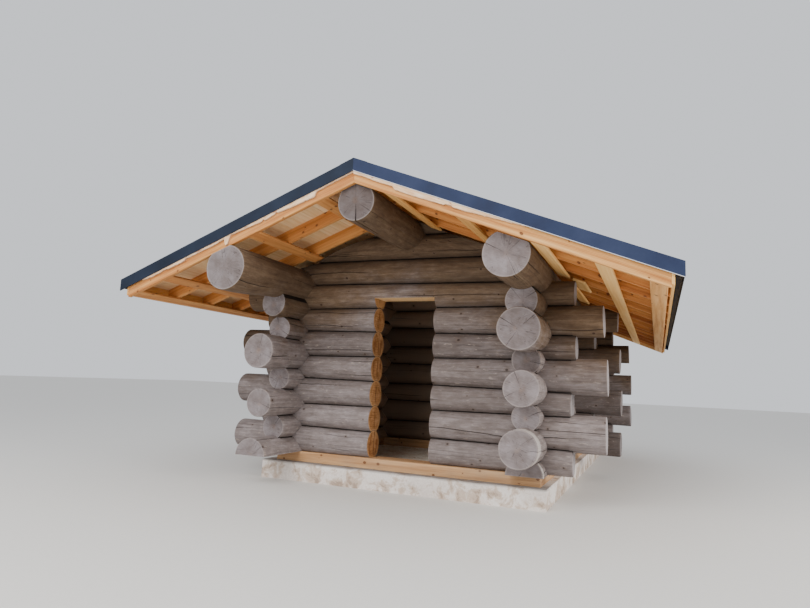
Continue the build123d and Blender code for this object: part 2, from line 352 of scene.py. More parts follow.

# %% [markdown]
# Two logs of one wall touch along a seam, because the upper one is hollowed to fit the lower.
# Seen in section they are two circles that cross, and the height of the crossing follows from
# the radii. Every point of a log stores its distance from the nearest seam, so that its finish
# can draw the dark joint there, in part dirt and in part painted shade, and its bumps can die
# away towards it.

# %% Seams
def neighbour(log, steps, along):
    """Radius of the log of the same wall so many half courses higher, or 0, and its rise."""
    size, rise = np.zeros_like(along), course
    for other in logs:
        same_wall = other.axis == log.axis and abs(other.across - log.across) < 0.05
        if same_wall and other.steps == log.steps + steps:
            size = np.maximum(size, other.radius(along))
            rise = abs(other.level - log.level)
    return size, rise


def from_seam(log, along, height):
    """How far a height is from the nearer seam. Circles of radii a below and b above, with
    centres a rise h apart, cross at (a^2 - b^2 + h^2) / 2h above the lower centre."""
    own = log.radius(along)
    (lower, drop), (upper, rise) = neighbour(log, -2, along), neighbour(log, 2, along)
    low = log.level - drop + (lower ** 2 - own ** 2 + drop ** 2) / (2 * drop)
    high = log.level + (own ** 2 - upper ** 2 + rise ** 2) / (2 * rise)
    below = np.where(lower > 0, height - low, 1.0)
    above = np.where(upper > 0, high - height, 1.0)
    return np.minimum(below, above)


def ease(value, low, high):
    """0 below low, 1 above high, and 3t^2 - 2t^3 in between."""
    t = np.clip((value - low) / (high - low), 0, 1)
    return t * t * (3 - 2 * t)


# %% [markdown]
# Under the roof and indoors the wood keeps a brown tone. Out in the rain and sun it goes
# silver-grey, most of all low down, where the eaves give no shelter. One number for each point
# says how weathered it is.

# %% Weathering
sheltered_drop, open_drop = 0.1, 1.75
indoor_weather, indoor_margin = -0.25, 0.03


def weather_at(x, y, height):
    """1 in the open and 0 in shelter: it grows with the distance below the rafters. Points
    inside the walls have less than none, which tells the finish that they are indoors."""
    out = ease(under_rafters(x) - height, sheltered_drop, open_drop)
    behind_front, before_rear = y > wall_lines[0] + indoor_margin, y < wall_lines[-1] - indoor_margin
    indoors = (np.abs(x) < side_line - indoor_margin) & behind_front & before_rear
    return np.where(indoors, indoor_weather, out)


# %% [markdown]
# A peeled log is nearly a cylinder, but not quite: it is a little oval and lumpy, its ends were
# sawn a degree or two off square, and wide drying cracks run in from them. All of this is
# one grid of points per log: rows from lid to lid, columns round it. A crack needs three narrow
# columns of its own, and the middle one is pushed in. First come the rows and the columns.
#
# Two short tables give, by log, painted light and shade. One gives how many metres at the
# front end of a log are painted paler, as a painted patch of sunlight. The other gives how strong
# a darker tone is, which is in part painted shade, on logs that lie in shade such as the ridge
# log, and in part a tone that differs from log to log.

# %% Rows, columns and cracks of a log
ring_columns, station_gap, rim, fewest_stations, edge_room = 48, 0.05, 0.006, 5, 0.012
end_shares = np.array([0.12, 0.36, 0.6, 0.8, 0.93, 1.0])
crack_depth, face_crack_depth, usual_crack = 0.016, 0.012, 0.003
most_cracks, crack_turn, crack_stray, crack_room = 3, 2.1, 0.5, 1.8
crack_widths, crack_lengths = (0.0016, 0.004), (0.5, 1.1)
# painted light: how many metres at the front end of a log are painted paler, as a patch of sunlight
sun_patch_ends = {"right_log_1": 0.17, "right_half_log": 0.09}
# a darker tone by log: in part painted shade on logs that lie in shade, such as the ridge log, and in
# part a tone of their own
shade_and_tone_by_log = {
    "ridge_log": 0.62, "left_plate_log": 0.32, "right_log_5": 0.3, "right_log_4": 0.42,
    "right_half_log": 0.24, "left_log_4": 0.18, "left_log_2": 0.16, "left_half_log": 0.06,
    "front_log_6": 0.14, "front_log_5": 0.4, "front_log_4": 0.2, "front_log_3": 0.2,
    "middle_logs": 0.5, "rear_logs": 0.3, "front_gable_logs": 0.2,
}


def is_cut(log, end):
    """Whether that end, 0 or 1, is cut by a doorway."""
    return log.axis == 0 and abs(abs(log.ends[end]) - door_half) < touching


def log_rows(log):
    """For each row: its place along, its share of the full ring, and which end it belongs to."""
    count = max(int((log.end - log.start) / station_gap), fewest_stations)
    body = np.linspace(log.start + rim, log.end - rim, count)
    if "lintel" in log.node:
        inside_edge = door_half - hair
        edges = [-door_half, -inside_edge, inside_edge, door_half]
        clear = np.min(np.abs(body[:, None] - np.array(edges)), axis=1) > edge_room
        body = np.sort(np.concatenate([body[clear], edges]))
    return capped(log.start, body, log.end, end_shares)


def log_columns(cracks):
    """Angles round the log from straight down, with three close columns at every crack, given
    as its angle and half its width in radians, and which crack a column is the middle of, or -1."""
    angles = -math.pi / 2 + 2 * math.pi * np.arange(ring_columns) / ring_columns
    middle = np.full(ring_columns, -1)
    for number, (angle, spread) in enumerate(cracks):
        angle = (angle + math.pi / 2) % (2 * math.pi) - math.pi / 2
        clear = np.abs(np.angle(np.exp(1j * (angles - angle)))) > crack_room * spread
        angles = np.concatenate([angles[clear], [angle - spread, angle, angle + spread]])
        middle = np.concatenate([middle[clear], [-1, number, -1]])
    order = np.argsort(angles)
    return angles[order], middle[order]


def end_cracks(log, chances, given):
    """The cracks given, and one to three more at each weathered end, about a third of a turn
    apart. A crack is its end, its angle round the log, half its width and its length."""
    cracks = list(given)
    for end in (0, 1):
        if is_cut(log, end):
            continue
        start = chances.uniform(0, 2 * math.pi)
        for number in range(chances.integers(1, most_cracks + 1)):
            turn = start + number * crack_turn + chances.uniform(-crack_stray, crack_stray)
            cracks.append((end, turn, chances.uniform(*crack_widths), chances.uniform(*crack_lengths)))
    return cracks


def opened_by(log, cracks, crack_of, s):
    """How wide open each point is, 0 to 1, and how far it is pushed in: along a crack, the root
    of what is left of its length."""
    opened, depth = np.zeros_like(s), np.zeros_like(s)
    for number, (end, _, width, length) in enumerate(cracks):
        away = np.abs(s - log.ends[end])
        here = np.sqrt(np.clip(1 - away / length, 0, 1)) * (crack_of == number)[None, :]
        opened = np.maximum(opened, here)
        depth = depth + crack_depth * min(width / usual_crack, 2.0) * here
    return opened, depth


# %% [markdown]
# Next the form of the round itself. Each function takes arrays of rows by columns: how far along
# the log, how far aside from its axis, and how high. A point starts on the lumpy ring, and then
# it is kept off whatever the real log was cut to fit: the sill, the doorway, the log below and
# the rafters. The butt of the left plate log swells out at the front, as the foot of a tree does.

# %% Log surfaces
log_lumps = ((0.016, 1.1, 0.9), (0.007, 4.5, 2.2))  # height, turns in a metre along, and round
oval, lump_fade, lid_shrink = 0.008, 0.07, 0.8
butt_swell, swell_ends = {"left_plate_log": 0.03}, (0.1, 1.1)
saw_lean, lean_reach = 0.03, 0.25
end_hollow, end_rough = 0.0035, 0.0012
roof_clearance, barge_drop = 0.002, 0.026
close_by, within_step, at_cut, half_log_rise = 0.05, 0.0002, 0.004, 0.4
split_start, split_span, grain_shift, pith_stray = 0.1, 0.5, 40, 0.12
# painted light: how much paler the right-facing ends of cross logs are painted, and the fade and side of
# the painted sun patch
painted_lit_face, sun_patch_fade, sun_patch_side, seed_step = 0.3, 0.04, 0.6, 0.618
barge_inside = abs(solids_of("right_barge_rafters")[0][:, 1]).min()


def lumpy_ring(log, s, angles, axis_height, taper):
    """Radius at each point: the taper times 1 plus lumps, which are two noises and one wave that
    makes the ring oval. The lumps fade out near a seam, so that the joint stays shut."""
    cos, sin = np.cos(angles)[None, :], np.sin(angles)[None, :]
    hold = ease(from_seam(log, s, axis_height + taper * sin), 0.0, lump_fade)
    lumps = 0
    for number, (size, along, around) in enumerate(log_lumps):
        lumps = lumps + size * noise(s * along, around * cos, around * sin, log.seed + number)
    lumps = lumps + oval * np.cos(2 * angles + log.seed)[None, :]
    return taper * (1 + hold * lumps)


def clear_of_log_below(log, radius, sin, where, near):
    """Shortens the rings at a doorway where they would run into the log below: from the upper
    centre, a ray at that angle meets the lower circle at -h sin - sqrt((h sin)^2 - h^2 + r^2)."""
    below = neighbour(log, -2, np.array([near]))[0][0]
    if below <= 0:
        return radius
    inside = (course * sin) ** 2 - course ** 2 + below ** 2
    meets = -course * sin - np.sqrt(np.maximum(inside, 0)) - nearly
    return np.where(where & (inside > 0) & (sin < 0), np.minimum(radius, meets), radius)


def kept_clear(log, s, aside, height):
    """Heights held above the sill and the doorway's head, and below the rafters, whose plane is
    a little lower where the barge rafters pass."""
    if log.level - sum(log.radii) / 2 < wall_base + close_by:
        height = np.maximum(height, wall_base + hair)
    if "lintel" in log.node:
        in_doorway = np.abs(s) < door_half - within_step
        height = np.where(in_doorway, np.maximum(height, door_head), height)
    if log.axis == 1 and log.level + max(log.radii) > under_rafters(log.across) - close_by:
        lower = np.where(np.abs(s) > barge_inside - touching, barge_drop, 0.0)
        height = np.minimum(height, under_rafters(log.across - aside) - roof_clearance - lower)
    return height


def sawn_ends(log, s, aside, height, share, side, opened, chances):
    """Moves the points along the log: each weathered end leans by a degree or two, is hollow and
    rough as a chain saw leaves it, and is split where a crack meets it. A gable log then ends
    on the slope of the rafters, and its height is held under their apex."""
    for end, (at, way) in enumerate(zip(log.ends, (-1, 1))):
        square = 0 if is_cut(log, end) else 1
        lean = chances.uniform(-saw_lean, saw_lean, 2) * square
        near = np.clip(1 - np.abs(s - at) / lean_reach, 0, 1)
        s = s + near * (lean[0] * aside + lean[1] * (height - log.level))
        face = (side == way)[:, None] * square
        rough = end_hollow * (1 - share ** 2) + end_rough * noise(aside * 30, height * 30, 0.5, log.seed)
        s = s - way * face * rough
        split = face_crack_depth * np.clip((share - split_start) / split_span, 0, 1)
        s = s - way * face * split * opened
    if "gable" in log.node:
        height = np.minimum(height, rafter_apex - 2 * roof_clearance)
        limit = (rafter_apex - height - roof_clearance) / roof_fall
        half = max(abs(log.start), abs(log.end))
        s = s / half * np.minimum(half, limit)
    return s, height


def doorway_faces(log, along, side, height, finish):
    """Marks the flat that the doorway cut under a lintel log as finish 3, and its two upright
    steps as finish 2. Also gives the rows whose faces take their UV along the flat."""
    within = np.abs(along) < door_half - within_step
    flat = (height < door_head + hair) & within[:, None]
    beside = np.roll(flat, -1, 1)
    four = flat[:-1] & flat[1:] & beside[:-1] & beside[1:]
    finish[four] = 3
    step = (np.abs(np.diff(along)) < nearly)[:, None] & (side[:-1] == 0)[:, None]
    finish[step & np.ones_like(four)] = 2
    return within & (np.abs(along) < door_half - nearly)


def round_log(piece, log, given_cracks=()):
    """One log as a closed grid. A point is the axis plus radius times (cos, sin) of its angle.
    The radius is the log's taper times lumps that fade out near a seam, less what a crack takes.
    Then the point is kept above the sill, below the roof and, at a doorway, off the log below."""
    r_mean = sum(log.radii) / 2
    chances = np.random.default_rng(log.seed)
    cracks = end_cracks(log, chances, given_cracks)
    angles, crack_of = log_columns([(turn, width / log.radii[end]) for end, turn, width, _ in cracks])
    along, share, side = log_rows(log)
    cos, sin = np.cos(angles)[None, :], np.sin(angles)[None, :]
    s = along[:, None] + 0 * cos
    slimmer = butt_swell.get(log.node, 0) * ease(along - log.start, *swell_ends)[:, None]
    axis_height = log.level + slimmer
    taper = log.radius(np.clip(along, log.start, log.end))[:, None] - slimmer
    radius = lumpy_ring(log, s, angles, axis_height, taper)
    on_face = np.abs(side)[:, None] > 0
    opened, depth = opened_by(log, cracks, crack_of, s)
    radius = radius - rim * lid_shrink * on_face - depth
    for end, at in enumerate(log.ends):
        if is_cut(log, end):
            radius = clear_of_log_below(log, radius, sin, np.abs(s - at) < at_cut, at * 1.002)
    if "lintel" in log.node:
        at_edge = np.abs(np.abs(s) - door_half) < 0.0001
        radius = clear_of_log_below(log, radius, sin, at_edge, door_half * 1.01)
    aside, height = radius * cos, axis_height + radius * sin
    height = kept_clear(log, s, aside, height)
    middle = log.level + (half_log_rise * r_mean if log.steps == 0 else 0.0)
    height = middle + (height - middle) * share[:, None]
    aside = aside * share[:, None]
    s, height = sawn_ends(log, s, aside, height, share[:, None], side, opened, chances)
    x, y = (s, log.across + aside) if log.axis == 0 else (log.across - aside, s)
    turn = np.append(angles, angles[0] + 2 * math.pi)
    shift = chances.uniform(0, grain_shift, 2)
    side_uv = table_of(along[:, None] + shift[0], turn[None, :] * r_mean + shift[1])
    wrap = np.arange(len(turn)) % len(angles)
    pith = chances.uniform(-pith_stray, pith_stray, 2) * r_mean
    end_uv = table_of(aside[:, wrap] + pith[0], height[:, wrap] - log.level + pith[1])
    finish = np.zeros((len(along) - 1, len(angles)), int)
    many = len(end_shares) - 1
    for end, rows in ((0, slice(None, many)), (1, slice(-many, None))):
        finish[rows] = 2 if is_cut(log, end) else 1
    if "lintel" in log.node:
        flat_rows = doorway_faces(log, along, side, height, finish)
        along_uv = table_of(s[:, wrap], aside[:, wrap])
        end_uv = np.where(flat_rows[:, None, None], along_uv, end_uv)
    # painted light: the right-facing end faces of cross logs are painted paler, and a patch of sunlight
    # is painted along the front end of some logs
    facing_right = (log.axis == 0) & (side[:, None] > 0)
    from_end = log.start + sun_patch_ends.get(log.node, -1) - s
    sun_patch = ease(from_end, -sun_patch_fade, sun_patch_fade) * (cos < sun_patch_side)
    marks = {
        "weather": weather_at(x, y, height),
        "seam": from_seam(log, s, height),
        "seed": (log.seed * seed_step) % 1,
        "open": opened,
        "share": share[:, None],
        # painted light on those end faces and in the sun patch
        "painted_light": np.where(on_face, painted_lit_face * facing_right, sun_patch),
        # darker tone: in part painted shade, in part a tone that differs from log to log
        "shade_and_tone": shade_and_tone_by_log.get(log.node, 0) * (on_face | (log.axis == 0)),
    }
    piece.add(np.stack([x, y, height], axis=-1), side_uv, end_uv, finish, marks)


# %% [markdown]
# A finish is a net of shader nodes. Written node by node it would fill pages, so sums are written
# as plain Python: a small class wraps a number socket, and each operator adds the Math node that
# does it. Every other node comes from one method of the finish. The numbers in a net are of few
# kinds. A place is multiplied by how many lumps a pattern has in a metre there. An ease has its
# two ends. In a layer of colour, the last number is the most that it covers. Colours are given
# as they look in a picture, from 0 to 255.

# %% Shader sums
def srgb(red, green, blue):
    """A colour given as it looks in a picture, 0 to 255, as the linear colour of a shader."""
    share = np.array([red, green, blue]) / 255
    linear = np.where(share <= 0.04045, share / 12.92, ((share + 0.055) / 1.055) ** 2.4)
    return (*(float(v) for v in linear), 1.0)


def math_node(operation, swapped=False):
    """An operator that adds a Math node; swapped is for the forms with the number first."""
    def adds(number, *others):
        values = (*others, number) if swapped else (number, *others)
        made = number.finish.node("Math", {"operation": operation}, dict(enumerate(values)))
        return Num(number.finish, made.outputs[0])
    return adds


class Num:
    """A number in a finish. Sums with it add Math nodes."""

    def __init__(self, finish, socket):
        self.finish, self.socket = finish, socket

    __add__ = __radd__ = math_node("ADD")
    __mul__ = __rmul__ = math_node("MULTIPLY")
    __sub__, __rsub__ = math_node("SUBTRACT"), math_node("SUBTRACT", swapped=True)
    __truediv__, __rtruediv__ = math_node("DIVIDE"), math_node("DIVIDE", swapped=True)
    __abs__, sin, floor = math_node("ABSOLUTE"), math_node("SINE"), math_node("FLOOR")

    def ease(self, low, high):
        """0 at low, 1 at high, smooth between. With low above high it falls instead."""
        made = self.finish.node(
            "MapRange", {"interpolation_type": "SMOOTHSTEP"},
            {"Value": self, "From Min": low, "From Max": high})
        return Num(self.finish, made.outputs["Result"])


class Finish:
    """One material and the nodes in it."""

    def __init__(self, name):
        self.material = bpy.data.materials.new(name)
        self.material.use_nodes = True
        self.tree = self.material.node_tree
        self.tree.nodes.clear()

    def node(self, kind, settings=None, values=None):
        """A node of that type: its settings are set first, then its sockets, each with a number,
        a colour or vector, or a link."""
        made = self.tree.nodes.new("ShaderNode" + kind)
        for key, value in (settings or {}).items():
            setattr(made, key, value)
        for key, value in (values or {}).items():
            source = value.socket if isinstance(value, Num) else value
            if isinstance(source, bpy.types.NodeSocket):
                self.tree.links.new(source, made.inputs[key])
            else:
                made.inputs[key].default_value = source
        return made

    def mark(self, name):
        """A number that the mesh stores at its points."""
        return Num(self, self.node("Attribute", {"attribute_name": name}).outputs["Fac"])

    def split(self, vector):
        """The three numbers of a vector."""
        made = self.node("SeparateXYZ", None, {0: vector})
        return [Num(self, made.outputs[axis]) for axis in range(3)]

    def grain(self):
        """The piece's own UV in metres: along the grain, and across it."""
        return self.split(self.node("UVMap", {"uv_map": "Grain"}).outputs["UV"])[:2]

    def place(self):
        return self.node("TexCoord").outputs["Object"]

    def spot(self, x, y, z=0.0):
        return self.node("CombineXYZ", None, {0: x, 1: y, 2: z}).outputs[0]

    def vector(self, operation, *values):
        return self.node("VectorMath", {"operation": operation}, dict(enumerate(values))).outputs[0]

    def length(self, vector):
        made = self.node("VectorMath", {"operation": "LENGTH"}, {0: vector})
        return Num(self, made.outputs["Value"])

    def noise(self, spot, detail, rough, scale=1.0, bend=0.0):
        """Noise from 0 to 1 at a spot, which is a link or two or three coordinates."""
        spot = self.spot(*spot) if isinstance(spot, tuple) else spot
        made = self.node("TexNoise", {"noise_dimensions": "3D"}, {
            "Vector": spot, "Scale": scale, "Detail": detail, "Roughness": rough,
            "Distortion": bend})
        return Num(self, made.outputs["Fac"])

    def mix(self, share, first, second):
        """Colours mixed: all first at share 0, all second at 1. Each is a link or a colour."""
        first, second = (srgb(*tone) if isinstance(tone, tuple) else tone for tone in (first, second))
        return self.node("Mix", {"data_type": "RGBA"}, {0: share, 6: first, 7: second}).outputs[2]

    def over(self, colour, *layers):
        """Lays colours over a first one in order, each given as its share and the colour."""
        for share, tone in layers:
            colour = self.mix(share, colour, tone)
        return colour

    def ramp(self, share, *stops):
        """A colour for each share, from stops of (place, colour)."""
        made = self.node("ValToRGB", None, {0: share})
        band = made.color_ramp.elements
        while len(band) < len(stops):
            band.new(0.5)
        for element, (place, _) in zip(band, stops):
            element.position = place
        for element, (_, tone) in zip(band, stops):
            element.color = srgb(*tone)
        return made.outputs[0]

    def close(self, colour, roughness, height=None, depth=0.002, gloss=0.3):
        """Ends the net in one shader, with a bump where a height in shares of depth is given."""
        values = {"Base Color": colour, "Roughness": roughness, "Specular IOR Level": gloss}
        if height is not None:
            values["Normal"] = self.node("Bump", None, {
                "Height": height, "Distance": depth, "Strength": 1.0}).outputs[0]
        shader = self.node("BsdfPrincipled", None, values)
        self.node("OutputMaterial", None, {"Surface": shader.outputs[0]})
        return self.material


# %% [markdown]
# Two features of the wood have a function each. Knots, in logs and boards, are the cells of a
# sparse Voronoi pattern, measured in real metres, and only some cells have one. Drying cracks
# open along the grain of the logs: they run in lanes that wander together, and each starts,
# widens and ends by itself as the noise of its own lane rises and falls.

# %% Knots and drying cracks
def knots(finish, along, across, spacing, share, size):
    """0 in the heart of a knot and growing outwards: distance to the nearest chosen point of a
    jittered lattice over the size of that knot. Also a mask that is 1 where there is a knot."""
    stretched = finish.spot(along / spacing[0], across / spacing[1])
    cells = finish.node("TexVoronoi", {"feature": "F1"}, {"Vector": stretched, "Scale": 1.0})
    away = finish.vector("SUBTRACT", stretched, cells.outputs["Position"])
    metres = finish.vector("MULTIPLY", away, (spacing[0], spacing[1] * 1.25, 0))
    length = finish.length(metres)
    split = finish.node("SeparateColor", None, {0: cells.outputs["Color"]})
    pick, big = Num(finish, split.outputs[0]), Num(finish, split.outputs[1])
    distance = length / (size * (0.5 + big * 0.9))
    return distance, pick.ease(share + 0.01, share)


def drying_cracks(finish, along, across, seed, lane, width):
    """1 in the dark of a crack. Cracks run in lanes along the log that wander together; each
    opens where the noise of its own lane is high, and narrows to nothing at both ends."""
    wander = finish.noise((along * 1.3, seed * 7), 1, 0.5) * 0.09
    jitter = finish.noise((along * 11, seed * 3, across * 3), 2, 0.6) * 0.012
    place = (across + wander + jitter) / lane + seed * 13
    number = place.floor()
    aside = abs(place - number - 0.5) * lane
    shown = finish.noise((along * 0.8, number * 3.7, seed * 5), 1, 0.5).ease(0.5, 0.66)
    return (aside - shown * width).ease(0.0014, -0.0004) * shown.ease(0.02, 0.25)


# %% [markdown]
# Weathered log, side. Outside the surface is silver-grey with fine fibres along the grain,
# because each noise is stretched many times lengthwise; in shelter it stays brown, darker under
# the eaves in part as painted shade, and indoors it is painted paler than either as painted light.
# Over that come a darker tone on some logs, in part painted shade, scuffs, knots, hairlines, the
# wide cracks of the mesh with painted shade in their depth, a painted patch of sunlight at the
# front ends of two logs, and the dark joint along each seam with the stain above and below it,
# both in part dirt and in part painted shade.

# %% Weathered log side
def weathered_side():
    finish = Finish("weathered_log_side")
    along, across = finish.grain()
    weather, seam, seed, opened, painted_light, shade_and_tone = map(
        finish.mark, ("weather", "seam", "seed", "open", "painted_light", "shade_and_tone"))
    place = finish.place()
    fibre = finish.noise((along * 9, across * 210, seed), 3, 0.65)
    streak = finish.noise((along * 1.6, across * 30, seed), 4, 0.6)
    mottle = finish.noise((along * 6, across * 15, seed * 4), 5, 0.68)
    patch = finish.noise(place, 4, 0.6, 2.3)
    cloud = finish.noise(place, 2, 0.5, 0.8)
    scuffed = finish.noise((along * 11, across * 34, seed * 3), 3, 0.65).ease(0.6, 0.7)
    wide = drying_cracks(finish, along, across, seed, 0.17, 0.0034)
    hair = drying_cracks(finish, along, across, seed * 3, 0.043, 0.0011)
    distance, knotty = knots(finish, along, across, (0.46, 0.21), 0.42, 0.013)
    core = distance.ease(1.15, 0.75) * knotty
    halo = distance.ease(2.8, 1.3) * distance.ease(0.8, 1.2) * knotty
    tone = streak * 0.3 + mottle * 0.45 + fibre * 0.25
    grey = finish.ramp(tone, (0.3, (88, 78, 74)), (0.5, (130, 120, 118)), (0.7, (168, 159, 159)))
    brown = finish.ramp(tone, (0.3, (72, 55, 42)), (0.5, (112, 91, 71)), (0.7, (150, 127, 102)))
    worn = (weather + (patch - 0.5) * 0.9 + (streak - 0.5) * 0.35).ease(0.12, 0.8)
    # a painted patch of sunlight, broken up by the fibres
    sunlit_patch = (painted_light + (fibre - 0.5) * 0.9 + (mottle - 0.5) * 1.2).ease(0.4, 0.85) * painted_light
    # the stain and the dark joint along each seam: in part dirt and in part painted shade of the groove
    # between logs
    stain = seam.ease(0.075, 0.0) * (0.35 + 0.5 * patch)
    joint_dirt_and_shade = (seam + (fibre - 0.5) * 0.008).ease(0.009, 0.002)
    colour = finish.over(
        finish.mix(worn, brown, grey),
        (cloud.ease(0.42, 0.68) * 0.25, (92, 78, 66)),
        # darker brown where sheltered: in part painted shade under the eaves
        (weather.ease(0.95, 0.3) * 0.22, (62, 48, 38)),
        # painted light: the wood indoors is painted pale to stand in for the light inside
        (weather.ease(-0.05, -0.2) * 0.75, (200, 174, 152)),
        # darker tone on some logs: in part painted shade, in part their own tone
        (shade_and_tone, (48, 36, 28)),
        (scuffed * worn * 0.3, (190, 176, 164)),
        (halo * 0.3, (104, 86, 72)),
        (core * 0.8, (50, 37, 30)),
        (hair * 0.5, (50, 42, 38)),
        (wide * 0.9, (26, 20, 18)),
        (sunlit_patch * 0.65, (196, 188, 182)),
        # painted shade: the depth of the cracks of the mesh is painted near black
        (opened.ease(0.25, 0.7), (24, 19, 17)),
        # seam stain and joint: in part dirt, in part painted shade
        (stain * 0.5, (66, 54, 46)),
        (joint_dirt_and_shade * 0.93, (22, 17, 14)))
    height = fibre * 0.3 + mottle * 0.5 - hair * 0.6 - wide * 1.5 - joint_dirt_and_shade * 1.2 + core * 0.3
    return finish.close(colour, 0.8 + 0.14 * fibre, height, 0.0035, gloss=0.22)


# %% [markdown]
# Log end. A sawn face goes an even, slightly blotched grey, a touch paler at the very rim and
# warmer round the pith. The growth rings hardly show. The wide checks are in the mesh already;
# here come the hairlines between them. In polar terms they are contour lines of a noise that is
# read round a circle, so they stay radial, and a second noise lets them start and stop.

# %% Weathered log end
full_turn, weathered_ring, fresh_ring, board_ring = 6.283, 0.0052, 0.0068, 0.011


def growth_rings(distance, ring_width):
    """Light and dark in turn, 1 to 0, once in each ring's width."""
    return (distance * (full_turn / ring_width)).sin() * 0.5 + 0.5


def weathered_end():
    finish = Finish("weathered_log_end")
    x, y = finish.grain()
    seed, opened, share, painted_light, shade_and_tone = map(
        finish.mark, ("seed", "open", "share", "painted_light", "shade_and_tone"))
    flat = finish.spot(x, y)
    far = finish.length(flat)
    cos, sin = finish.split(finish.vector("NORMALIZE", flat))[:2]
    wobble = finish.noise((x * 9, y * 9, seed * 7), 2, 0.5)
    rings = growth_rings(far + wobble * 0.014, weathered_ring)
    round_it = finish.noise((cos * 3.6, sin * 3.6, far * 3 + seed * 11), 1, 0.5)
    shown = finish.noise((cos * 2.2, sin * 2.2, far * 9 + seed * 5), 1, 0.5)
    hair = abs(round_it - 0.5).ease(0.011, 0.002) * shown.ease(0.45, 0.6) * far.ease(0.01, 0.06)
    blot = finish.noise((x * 6, y * 6, seed * 3), 3, 0.6)
    saw = finish.noise((x * 14 + y * 5, y * 190 - x * 70, seed), 2, 0.5)
    warm = finish.noise((x * 12, y * 12, seed * 13), 2, 0.5).ease(0.4, 0.65)
    colour = finish.over(
        finish.ramp(blot * 0.75 + saw * 0.25,
                    (0.3, (106, 96, 93)), (0.5, (134, 125, 125)), (0.72, (158, 151, 154))),
        (far.ease(0.06, 0.01) * warm * 0.28, (150, 112, 78)),
        # painted light: the ends of cross logs that face right are painted paler
        (painted_light, (210, 204, 204)),
        # darker tone on some ends: in part painted shade, in part their own tone
        (shade_and_tone, (62, 50, 44)),
        ((1 - rings) * 0.10, (104, 92, 88)),
        (share.ease(0.92, 0.99) * 0.3, (176, 166, 160)),
        (far.ease(0.007, 0.002) * 0.6, (70, 54, 46)),
        (hair * 0.6, (66, 57, 55)),
        # painted shade: the depth of the cracks of the mesh is painted near black
        (opened.ease(0.3, 0.75) * share.ease(0.1, 0.3), (28, 23, 22)))
    return finish.close(colour, 0.9, rings * 0.12 + saw * 0.3 - hair * 0.8, 0.003, gloss=0.15)


# %% [markdown]
# Fresh cuts. The logs were sawn through for the doorways after the walls stood, so those faces
# are still warm brown: the same rings, but sharper, with streaks of darker resin, a bent check
# through the pith, a paler rim of sapwood and the marks of the chain. Along the grain, on the
# flat over the doorway, the new cut is pale pine, painted paler still as painted light, for the
# flat faces down at the bright floor.

# %% Fresh cuts across and along the grain
def fresh_end():
    finish = Finish("fresh_log_end")
    x, y = finish.grain()
    seed, share = map(finish.mark, ("seed", "share"))
    far = finish.length(finish.spot(x, y))
    wobble = finish.noise((x * 10, y * 10, seed * 7), 2, 0.5)
    rings = growth_rings(far + wobble * 0.012, fresh_ring)
    saw = finish.noise((x * 9, y * 160, seed), 2, 0.6)
    blot = finish.noise((x * 7, y * 7, seed * 5), 3, 0.6)
    bent = finish.noise((y * 9, seed * 9), 2, 0.5) * 0.05 - 0.025
    check = abs(x + bent).ease(0.009, 0.003) * far.ease(0.13, 0.07)
    resin = finish.noise((x * 24, y * 5, seed * 3), 3, 0.6).ease(0.52, 0.66)
    colour = finish.over(
        finish.ramp(blot * 0.6 + saw * 0.4,
                    (0.34, (124, 82, 46)), (0.5, (184, 132, 84)), (0.68, (220, 174, 124))),
        ((1 - rings) * 0.16, (142, 84, 42)),
        (resin * 0.6, (104, 58, 26)),
        (share.ease(0.84, 0.97) * 0.5, (214, 170, 116)),
        (check * 0.8, (58, 32, 18)))
    return finish.close(colour, 0.8, rings * 0.25 + saw * 0.6 - check * 0.6, 0.002, gloss=0.2)


def fresh_along():
    finish = Finish("fresh_log_cut")
    along, across = finish.grain()
    fibre = finish.noise((along * 6, across * 140), 3, 0.6)
    saw = finish.noise((along * 90, across * 6), 2, 0.6)
    # painted light: paler than fresh pine, for this flat faces down at the bright floor
    colour = finish.ramp(fibre * 0.7 + saw * 0.3,
                         (0.3, (226, 176, 118)), (0.5, (244, 204, 150)), (0.72, (252, 224, 178)))
    return finish.close(colour, 0.8, fibre * 0.4 + saw * 0.6, 0.002, gloss=0.2)


log_finishes = [weathered_side(), weathered_end(), fresh_end(), fresh_along()]
print("log finishes:", [finish.name for finish in log_finishes])

# %% [markdown]
# Now the logs themselves: one piece for each node of logs, in the place of its plain cones. Two
# cracks in the front end of the ridge log are given, a wide one down from the heart and a thin
# one up, because they show so clearly there. All others are left to chance.

# %% Lay up the logs
heart_cracks = [(0, -1.62, 0.010, 0.7), (0, 1.48, 0.0014, 0.3)]  # end, angle, half width, length
triangles = 0
for node, found in logs_of.items():
    piece = Piece(node + "_hewn")
    for log in found:
        round_log(piece, log, heart_cracks if node == "ridge_log" else ())
    timber = dress(piece.build(), log_finishes, [node])
    triangles += sum(len(face.vertices) - 2 for face in timber.data.polygons)
print("log pieces:", len(logs_of), "triangles:", triangles)

# %% [markdown]
# Sawn timber. A board's solid has eight corners, so any point in it is a blend of them: a share
# of the length, of the width and of the thickness. Its surface is the outline of a rectangle
# with eased corners, carried from one end to the other through that blend. Slanted ends and
# plumb cuts come out right by themselves, and a little noise takes away the machine-made look.

# %% Board surfaces
board_edge, board_station, arris = 0.0025, 0.22, 1.6
board_rough, board_bow, board_wave, board_bend = 0.0008, 0.0012, (2.3, 14), 0.7
along_roof, across_house, upright = np.eye(3)[[1, 0, 2]]


